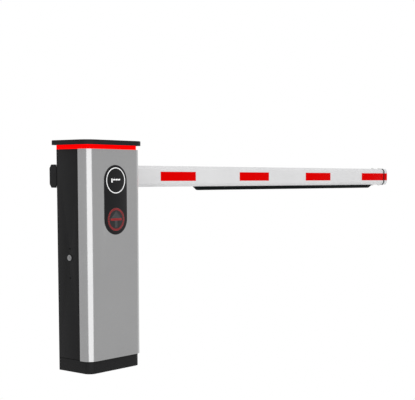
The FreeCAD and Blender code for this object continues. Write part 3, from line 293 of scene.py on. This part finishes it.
def make_materials():
    """One finish for each slot of the record."""
    made = {
        "black_coat": powder_black(),
        "silver_coat": silver_coat(),
        "red_lens": red_band(),
        "panel_black": panel_black(),
        # status_white is white print, no lamp: its slight emission is a painted glow that lifts its
        # brightness.
        "status_white": lamp("status_white", (0.66, 0.66, 0.66), 0.17),
        "lamp_red": lamp("lamp_red", (0.31, 0.005, 0.007), 0.12),
        "lamp_off": lamp("lamp_off", (0.055, 0.055, 0.058), 0.0),
        "board_green": circuit_board(),
        "machined_steel": turned_metal("machined_steel", (0.5, 0.5, 0.51), 0.28),
        "cast_grey": cast_surface(),
        "tape_red": prism_tape(),
    }
    plain = {
        "sign_dark": dict(colour=(0.012, 0.0125, 0.0135), rough=0.35, grain=(1800, 0.2, 0.0001),
                          mottle=(40, 0.12), shine=0.22),
        "zinc_steel": dict(colour=(0.56, 0.56, 0.545), rough=0.34, metal=1.0, grain=(1200, 0.2, 0.0001),
                           mottle=(90, 0.16), spread=0.12),
        "gear_paint": dict(colour=(0.13, 0.17, 0.215), rough=0.42, grain=(350, 0.35, 0.0006),
                           mottle=(12, 0.1), wear=0.6),
        "motor_paint": dict(colour=(0.045, 0.053, 0.062), rough=0.48, grain=(500, 0.4, 0.0005),
                            mottle=(14, 0.15), wear=0.5),
        "lock_silver": dict(colour=(0.27, 0.27, 0.275), rough=0.3, metal=1.0, grain=(3000, 0.15, 0.00005),
                            mottle=(60, 0.08)),
        "spring_steel": dict(colour=(0.22, 0.225, 0.235), rough=0.32, metal=1.0, grain=(900, 0.3, 0.0002),
                             mottle=(50, 0.2)),
        "brass_wheel": dict(colour=(0.66, 0.46, 0.2), rough=0.33, metal=1.0, grain=(1500, 0.2, 0.0001),
                            mottle=(45, 0.12)),
        "black_rubber": dict(colour=(0.0026, 0.004, 0.0041), rough=0.75, grain=(1300, 0.5, 0.0002),
                             mottle=(18, 0.25), shine=0.05),
        "boom_white": dict(colour=(0.515, 0.515, 0.52), rough=0.38, grain=(800, 0.12, 0.00015),
                           mottle=(4, 0.03), shine=0.4),
        "cap_white": dict(colour=(0.5, 0.51, 0.52), rough=0.42, grain=(1400, 0.25, 0.0001),
                          mottle=(25, 0.04)),
        "cap_black": dict(colour=(0.0065, 0.0065, 0.0072), rough=0.5, grain=(1100, 0.5, 0.0002),
                          mottle=(30, 0.15), shine=0.14),
        "control_grey": dict(colour=(0.33, 0.34, 0.345), rough=0.5, grain=(1500, 0.35, 0.00015),
                             mottle=(20, 0.04)),
        "toggle_blue": dict(colour=(0.02, 0.07, 0.3), rough=0.4, grain=(1500, 0.2, 0.0001),
                            mottle=(40, 0.08)),
        "hand_red": dict(colour=(0.5, 0.018, 0.015), rough=0.42, grain=(900, 0.3, 0.0002),
                         mottle=(30, 0.08)),
    }
    for slot, values in plain.items():
        made[slot] = surface(slot, **values)
    return made


FINISH = make_materials()


# ---------------------------------------------------------------- mesh helpers

SHARP_ANGLE = 32


def smooth_group(degrees):
    """Geometry group that drops imported normals and smooths every edge flatter than an angle."""
    group = bpy.data.node_groups.new("SmoothShade", "GeometryNodeTree")
    group.interface.new_socket("Geometry", in_out="INPUT", socket_type="NodeSocketGeometry")
    group.interface.new_socket("Geometry", in_out="OUTPUT", socket_type="NodeSocketGeometry")
    start = group.nodes.new("NodeGroupInput")
    end = group.nodes.new("NodeGroupOutput")
    drop = group.nodes.new("GeometryNodeRemoveAttribute")
    drop.inputs["Name"].default_value = "custom_normal"
    angle = group.nodes.new("GeometryNodeInputMeshEdgeAngle")
    flatter = group.nodes.new("FunctionNodeCompare")
    flatter.operation = "LESS_THAN"
    flatter.inputs[1].default_value = math.radians(degrees)
    faces = group.nodes.new("GeometryNodeSetShadeSmooth")
    edges = group.nodes.new("GeometryNodeSetShadeSmooth")
    edges.domain = "EDGE"
    links = group.links
    links.new(start.outputs[0], drop.inputs["Geometry"])
    links.new(drop.outputs["Geometry"], faces.inputs["Geometry"])
    links.new(faces.outputs["Geometry"], edges.inputs["Geometry"])
    links.new(angle.outputs["Unsigned Angle"], flatter.inputs[0])
    links.new(flatter.outputs[0], edges.inputs["Shade Smooth"])
    links.new(edges.outputs["Geometry"], end.inputs[0])
    return group


SMOOTH = smooth_group(SHARP_ANGLE)


def ease_edges(piece, width, weld=True):
    """Rounded edges by modifiers, so that they catch the light; the mesh itself stays as it is."""
    if weld:
        piece.modifiers.new("Weld", "WELD").merge_threshold = 0.00001
    if width:
        bevel = piece.modifiers.new("Edges", "BEVEL")
        bevel.width = width
        bevel.segments = 2
        bevel.limit_method = "ANGLE"
        bevel.angle_limit = math.radians(SHARP_ANGLE)
    piece.modifiers.new("Smooth", "NODES").node_group = SMOOTH
    return piece


def paint(piece, slot):
    """Give a piece the finish of a slot."""
    if piece.material_slots:
        for holder in piece.material_slots:
            holder.material = FINISH[slot]
    else:
        piece.data.materials.append(FINISH[slot])
    return piece


def piece_from(name, mesh, slot, body, width=0.0):
    """Finished piece from a bmesh: named, painted, smoothed and riding on its body."""
    data = bpy.data.meshes.new(name)
    mesh.normal_update()
    mesh.to_mesh(data)
    mesh.free()
    made = bpy.data.objects.new(name, data)
    SCENE.collection.objects.link(made)
    paint(made, slot)
    ease_edges(made, width, weld=False)
    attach(made, body)
    return made


def spin_profile(mesh, profile, sides, matrix, flats=None):
    """Closed turned solid from (radius, height) points, about Z, then moved by the matrix.
    With flats, points whose radius is at least that value form a hexagon."""
    rings = []
    for radius, height in profile:
        ring = []
        if radius <= 0:
            ring = [mesh.verts.new(matrix @ Vector((0, 0, height)))]
        else:
            for index in range(sides):
                angle = 2 * math.pi * index / sides
                reach = radius
                if flats and radius >= flats:
                    part = (angle + math.pi / 6) % (math.pi / 3) - math.pi / 6
                    reach = radius * math.cos(math.pi / 6) / math.cos(part)
                point = Vector((reach * math.cos(angle), reach * math.sin(angle), height))
                ring.append(mesh.verts.new(matrix @ point))
        rings.append(ring)
    for low, high in zip(rings, rings[1:]):
        for index in range(sides):
            following = (index + 1) % sides
            if len(low) == 1 and len(high) == 1:
                continue
            if len(low) == 1:
                mesh.faces.new((low[0], high[following], high[index]))
            elif len(high) == 1:
                mesh.faces.new((low[index], low[following], high[0]))
            else:
                mesh.faces.new((low[index], low[following], high[following], high[index]))


def facing(place, axis):
    """Matrix that sets a turned piece at a place with its Z pointing along an axis."""
    return Matrix.Translation(Vector(place)) @ Vector(axis).to_track_quat("Z", "Y").to_matrix().to_4x4()


def box_of(node):
    """Low corner, high corner and middle of a CAD node's box."""
    low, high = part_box(node)
    return low, high, (low + high) / 2


# ---------------------------------------------------------------- CAD nodes with their finish

SLOT_OF = {part["node"]: part["material_slot"] for part in frame["record"]["subparts"]}

# Rounding of the edges in millimetres, by node; the others have a hairline.
HAIRLINE = 0.3
EDGE_WIDTH = {
    "plinth": 1.0, "rear_panel": 0.6, "right_panel": 0.5, "front_shell": 0.7, "light_band": 1.0,
    "side_door": 0.6, "display_panel": 1.0, "sign_disc": 0.15, "status_ring": 0.2, "base_plate": 0.8,
    "chassis_plate": 0.8, "bearing_housing": 1.2, "main_lever": 1.5, "crank_arm": 1.5,
    "gearbox_housing": 2.5, "gearbox_cover": 1.5, "motor_body": 0.8, "motor_cap": 2.5, "handwheel": 1.5,
    "link_rod": 0.8, "boom_holder": 1.0, "clamp_plate": 1.2, "boom_tube": 2.2, "root_cap": 1.2,
    "tip_cap": 1.2, "bumper_strip": 0.8, "control_box": 2.0, "control_cover": 1.5, "breaker": 1.0,
    "breaker_toggle": 0.8, "lock_body": 0.6, "lock_core": 0.4, "spring_anchor": 0.8, "shaft_seal": 0.8,
    "main_shaft": 0.8, "output_shaft": 0.8, "stop_sleeve": 1.0, "limit_sensors": 0.6,
}

for label, holder in NODES.items():
    paint(holder, SLOT_OF[label])
    ease_edges(holder, EDGE_WIDTH.get(label, HAIRLINE) * MM)


# ---------------------------------------------------------------- pieces finished here

def islands(node):
    """Every separate solid of a CAD node, as its box's low and high corners and its points."""
    data = NODES[node].data
    spots = {}
    owner = []
    for vertex in data.vertices:
        key = tuple(round(part, 6) for part in vertex.co)
        owner.append(spots.setdefault(key, len(spots)))
    parent = list(range(len(spots)))

    def root(item):
        while parent[item] != item:
            parent[item] = parent[parent[item]]
            item = parent[item]
        return item

    for face in data.polygons:
        first = root(owner[face.vertices[0]])
        for other in face.vertices[1:]:
            parent[root(owner[other])] = first
    groups = {}
    for key, index in spots.items():
        groups.setdefault(root(index), []).append(Vector(key))
    found = []
    for points in groups.values():
        low = Vector([min(point[axis] for point in points) for axis in range(3)])
        high = Vector([max(point[axis] for point in points) for axis in range(3)])
        found.append((low, high, points))
    return sorted(found, key=lambda item: tuple(round(part, 5) for part in item[0]))


def lamp_domes(node, name, slot):
    """Rounded lens on every lamp of the sign."""
    mesh = bmesh.new()
    for low, high, _ in islands(node):
        radius = (high.x - low.x) / 2
        tall = high.y - low.y
        matrix = facing(((low.x + high.x) / 2, high.y, (low.z + high.z) / 2), (0, -1, 0))
        profile = [(radius, 0), (radius, 0.35 * tall), (0.86 * radius, 0.72 * tall),
                   (0.5 * radius, 0.94 * tall), (0, tall)]
        spin_profile(mesh, profile, 12, matrix)
    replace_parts(piece_from(name, mesh, slot, "cabinet"), node)


def wide_span(points, centre, limit):
    """Lowest and highest Y of the points farther than a limit from an axis along Y."""
    reach = [point.y for point in points if math.hypot(point.x - centre.x, point.z - centre.z) > limit]
    return min(reach), max(reach)


def hexagon_head(mesh, centre, start, end, radius):
    """Hexagon head or nut with a washer face and a turned chamfer, from start to end along Y."""
    tall = abs(end - start)
    matrix = facing((centre.x, start, centre.z), (0, math.copysign(1, end - start), 0))
    washer = 0.0007
    flats = radius * 0.99
    profile = [(0, 0), (radius * 0.85, 0), (radius * 0.85, washer), (flats * 1.001, washer + 0.0001),
               (flats * 1.001, tall - 0.0011), (radius * 0.84, tall - 0.0001), (radius * 0.76, tall),
               (0, tall)]
    spin_profile(mesh, profile, 48, matrix, flats)


def threaded_end(mesh, centre, start, end, radius):
    """Bolt end with thread ridges and a chamfered tip, from start to end along Y."""
    tall = abs(end - start)
    matrix = facing((centre.x, start, centre.z), (0, math.copysign(1, end - start), 0))
    pitch = 0.0015
    root = radius * 0.86
    profile = [(0, 0)]
    for step in range(max(1, int((tall - 0.001) / pitch))):
        low = step * pitch
        profile += [(root, low + 0.1 * pitch), (radius, low + 0.5 * pitch), (root, low + 0.9 * pitch)]
    profile += [(root, tall - 0.0009), (radius * 0.74, tall), (0, tall)]
    spin_profile(mesh, profile, 24, matrix)


BOLT_SHANK = 0.005


def make_bolts(node, name, body):
    """Every bolt and nut of a node, with its head, washer face and threaded end."""
    mesh = bmesh.new()
    for low, high, points in islands(node):
        centre = (low + high) / 2
        head = (high.x - low.x) / 2
        head_low, head_high = wide_span(points, centre, BOLT_SHANK + 0.001)
        if head_low - low.y > 0.001:
            hexagon_head(mesh, centre, head_low, head_high, head)
            threaded_end(mesh, centre, head_low, low.y, BOLT_SHANK)
        elif high.y - head_high > 0.001:
            hexagon_head(mesh, centre, head_high, head_low, head)
            threaded_end(mesh, centre, head_high, high.y, BOLT_SHANK)
        else:
            hexagon_head(mesh, centre, low.y, high.y, head)
    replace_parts(piece_from(name, mesh, SLOT_OF[node], body, 0.00015), node)


def make_tip_screws():
    """Button-head screws with a hexagon socket, above and below the boom's tip."""
    mesh = bmesh.new()
    under, over, middle = box_of("boom_tube")
    for low, high, _ in islands("tip_screws"):
        centre = (low + high) / 2
        way = 1 if centre.z > middle.z else -1
        radius = (high.x - low.x) / 2
        face = over.z if way > 0 else under.z
        tall = abs((high.z if way > 0 else low.z) - face)
        matrix = facing((centre.x, centre.y, face), (0, 0, way))
        socket = radius * 0.44
        profile = [(0, -0.012), (0.0022, -0.012), (0.0025, -0.0115), (0.0025, 0), (radius, 0),
                   (radius, 0.2 * tall), (radius * 0.93, 0.52 * tall), (radius * 0.76, 0.81 * tall),
                   (radius * 0.52, tall), (socket, tall - 0.0001), (socket, tall - 0.0022),
                   (0, tall - 0.0024)]
        spin_profile(mesh, profile, 36, matrix)
    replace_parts(piece_from("screws_tip", mesh, SLOT_OF["tip_screws"], "boom", 0.0002), "tip_screws")


def make_rivets():
    """Small domed blind rivets on the side door, hollow in the middle."""
    mesh = bmesh.new()
    for low, high, _ in islands("door_rivets"):
        centre = (low + high) / 2
        radius = (high.y - low.y) / 2
        shank = 0.78 * radius
        hollow = 0.7 * radius
        matrix = facing((low.x + 0.001, centre.y, centre.z), (-1, 0, 0))
        profile = [(0, -0.004), (radius * 0.95, -0.004), (radius, -0.0035), (radius, -0.0021),
                   (shank, -0.002), (shank, 0), (radius, 0), (radius, 0.0003), (radius * 0.92, 0.0008),
                   (radius * 0.82, 0.001), (hollow + 0.0001, 0.0008), (hollow, -0.003), (0, -0.0031)]
        spin_profile(mesh, profile, 28, matrix)
    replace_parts(piece_from("rivets_door", mesh, SLOT_OF["door_rivets"], "door"), "door_rivets")


def tube(mesh, points, radius, sides):
    """Round wire along points, closed at both ends; the frame is carried along without twisting."""
    neighbours = zip([points[0]] + points[:-1], points[1:] + [points[-1]])
    ways = [(after - before).normalized() for before, after in neighbours]
    side = ways[0].orthogonal().normalized()
    rings = []
    for point, way in zip(points, ways):
        side = (side - way * side.dot(way)).normalized()
        other = way.cross(side)
        rings.append([mesh.verts.new(point + radius * (math.cos(angle) * side + math.sin(angle) * other))
                      for angle in [2 * math.pi * index / sides for index in range(sides)]])
    for first, second in zip(rings, rings[1:]):
        for index in range(sides):
            following = (index + 1) % sides
            mesh.faces.new((first[index], first[following], second[following], second[index]))
    mesh.faces.new(list(reversed(rings[0])))
    mesh.faces.new(rings[-1])


# The springs' lower and upper eyes, their rows, and the sizes of the wire, coils and hooks.
SPRING_FOOT = Vector((-0.055, -0.02, 0.262))
SPRING_TOP = Vector((-0.06495, -0.02, 0.8755))
SPRING_ROWS = (-0.044, 0.004)
SPRING_WIRE = 0.0024
COIL_RADIUS = 0.0134
COIL_TURNS = 88
COIL_STEPS = 18
FOOT_EYE = 0.0066
HOOK_RADIUS = 0.0099


def make_springs():
    """Two long wound springs with a hook in the eye bolt below and over the lever's pin above."""
    mesh = bmesh.new()
    axis = (SPRING_TOP - SPRING_FOOT).normalized()
    across = Vector((0, 1, 0)).cross(axis).normalized()
    whole = (SPRING_TOP - SPRING_FOOT).length
    first, last = 0.026, whole - 0.029
    for row in SPRING_ROWS:
        foot = Vector((SPRING_FOOT.x, row, SPRING_FOOT.z))

        def place(along, x, y):
            return foot + axis * along + across * x + Vector((0, y, 0))

        points = []
        eye = 0.0093
        for index in range(13):
            angle = math.radians(-20 - 160 * index / 12)
            points.append(place(eye + FOOT_EYE * math.sin(angle), 0, FOOT_EYE * math.cos(angle)))
        for along, x, y in ((0.0125, 0, -0.0072), (0.0165, 0.001, -0.0096), (0.0208, 0.003, -0.0122)):
            points.append(place(along, x, y))
        for index in range(COIL_TURNS * COIL_STEPS + 1):
            angle = -math.pi / 2 + 2 * math.pi * index / COIL_STEPS
            along = first + (last - first) * index / (COIL_TURNS * COIL_STEPS)
            points.append(place(along, COIL_RADIUS * math.cos(angle), COIL_RADIUS * math.sin(angle)))
        for along, x, y in ((whole - 0.0235, 0.006, -0.0108), (whole - 0.0175, 0.0095, -0.0062),
                            (whole - 0.0105, 0.0102, -0.0018)):
            points.append(place(along, x, y))
        for index in range(15):
            angle = math.radians(-10 + 210 * index / 14)
            points.append(place(whole + HOOK_RADIUS * math.sin(angle), HOOK_RADIUS * math.cos(angle), 0))
        tube(mesh, points, SPRING_WIRE, 10)
    made = piece_from("springs_wound", mesh, SLOT_OF["balance_springs"], "springs")
    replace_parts(made, "balance_springs")
    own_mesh(made)


def rounded_plate(mesh, corners, front, thick, radius=0.0):
    """Upright plate facing -Y from corners (x, z), with rounded corners."""
    outline = []
    count = len(corners)
    for index, corner in enumerate(corners):
        before = Vector(corners[index - 1]) - Vector(corner)
        after = Vector(corners[(index + 1) % count]) - Vector(corner)
        spot = Vector(corner)
        if not radius:
            outline.append(spot)
            continue
        for step in range(7):
            share = step / 6
            start = spot + before.normalized() * radius * (1 - share)
            end = spot + after.normalized() * radius * share
            outline.append((1 - share) * start + share * end)
    near = [mesh.verts.new((x, front, z)) for x, z in outline]
    far = [mesh.verts.new((x, front + thick, z)) for x, z in outline]
    mesh.faces.new(near)
    mesh.faces.new(list(reversed(far)))
    for index in range(len(outline)):
        following = (index + 1) % len(outline)
        mesh.faces.new((near[following], near[index], far[index], far[following]))


def make_pictogram():
    """Plain barrier sign of our own inside the status ring: a post, and an arm in three slanted fields."""
    mesh = bmesh.new()
    middle = box_of("status_ring")[2]
    face = box_of("display_panel")[0].y
    front, thick = face - 0.0004, 0.0004
    x, z = middle.x, middle.z
    rounded_plate(mesh, [(x - 0.026, z - 0.009), (x - 0.026, z + 0.0085), (x - 0.019, z + 0.0085),
                         (x - 0.019, z - 0.009)], front, thick, 0.0022)
    for start, end in ((-0.0165, -0.005), (-0.002, 0.0095), (0.0125, 0.024)):
        rounded_plate(mesh, [(x + start, z + 0.0005), (x + start + 0.003, z + 0.0065),
                             (x + end + 0.003, z + 0.0065), (x + end, z + 0.0005)], front, thick, 0.0009)
    # The sign takes the status ring's white print finish, with its slight painted glow.
    piece_from("pictogram", mesh, "status_white", "cabinet")


lamp_domes("red_leds", "lamps_red", "lamp_red")
lamp_domes("arrow_leds", "lamps_arrow", "lamp_off")
make_bolts("clamp_bolts", "bolts_clamp", "boom")
make_bolts("mechanism_bolts", "bolts_mechanism", "cabinet")
make_tip_screws()
make_rivets()
make_springs()
make_pictogram()


# ---------------------------------------------------------------- camera, floor and light

# The camera's angles are in degrees, its place in metres, and the lens and sensor in millimetres.
CAMERA_AZIMUTH = -51.093
CAMERA_ELEVATION = 4.674
CAMERA_PLACE = Vector((-3.03006, -3.20209, 0.82906))
SENSOR = 36.0
LENS = 87.08
SHIFT = (-0.0641, 0.1452)
ROOM_LIGHT = 0.88


def make_camera():
    data = bpy.data.cameras.new("Camera")
    data.sensor_width = SENSOR
    data.lens = LENS
    data.shift_x, data.shift_y = SHIFT
    data.clip_end = 100
    camera = bpy.data.objects.new("Camera", data)
    azimuth = math.radians(CAMERA_AZIMUTH)
    elevation = math.radians(CAMERA_ELEVATION)
    looking = Vector((-math.sin(azimuth) * math.cos(elevation), math.cos(azimuth) * math.cos(elevation),
                      -math.sin(elevation)))
    camera.location = CAMERA_PLACE
    camera.rotation_mode = "QUATERNION"
    camera.rotation_quaternion = looking.to_track_quat("-Z", "Y")
    SCENE.collection.objects.link(camera)
    SCENE.camera = camera


def make_floor():
    """Pale studio floor."""
    material, tree, shader = new_material("studio_floor")
    place = object_place(tree)
    tone = mix_colour(tree, noise(tree, place, 3, 4.0), (0.95, 0.95, 0.95), (0.97, 0.97, 0.97))
    tree.links.new(tone, shader.inputs["Base Color"])
    shader.inputs["Roughness"].default_value = 0.9
    mesh = bmesh.new()
    bmesh.ops.create_grid(mesh, x_segments=8, y_segments=8, size=30)
    data = bpy.data.meshes.new("floor")
    mesh.to_mesh(data)
    mesh.free()
    data.materials.append(material)
    floor = bpy.data.objects.new("floor", data)
    floor.visible_glossy = False
    floor.visible_camera = False
    SCENE.collection.objects.link(floor)


def area_light(name, place, aim, size, power):
    data = bpy.data.lights.new(name, "AREA")
    data.shape = "RECTANGLE"
    data.size, data.size_y = size
    data.energy = power
    light = bpy.data.objects.new(name, data)
    light.location = place
    light.rotation_mode = "QUATERNION"
    light.rotation_quaternion = (Vector(aim) - Vector(place)).to_track_quat("-Z", "Y")
    light.visible_camera = False
    SCENE.collection.objects.link(light)


def make_light():
    """Even studio: the backdrop is white to the eye, and softer than that as a light."""
    world = bpy.data.worlds.new("Studio")
    world.use_nodes = True
    tree = world.node_tree
    sky = tree.nodes["Background"]
    sky.inputs["Color"].default_value = (1, 1, 1, 1)
    seen = add(tree, "ShaderNodeLightPath").outputs["Is Camera Ray"]
    tree.links.new(ramp(tree, seen, 0, 1, ROOM_LIGHT, 1), sky.inputs["Strength"])
    SCENE.world = world
    # A tall soft box behind the camera gives the rounded front corner its bright stripe.
    area_light("Corner", place=(-2.62, -4.96, 0.0), aim=(0.42, -0.38, 0.0), size=(7.0, 9.0), power=376)
    # A narrower one to the right gives the other rounded corner its lighter strip.
    area_light("Right", place=(5.98, -0.52, 0.0), aim=(0, -0.52, 0.0), size=(3.0, 8.0), power=30)
    sun = bpy.data.lights.new("Sky", "SUN")
    sun.energy = 0.6
    sun.angle = math.radians(70)
    holder = bpy.data.objects.new("Sky", sun)
    holder.rotation_euler = (math.radians(20), math.radians(-8), 0)
    SCENE.collection.objects.link(holder)


make_camera()
make_floor()
make_light()
SCENE.view_settings.view_transform = "Standard"
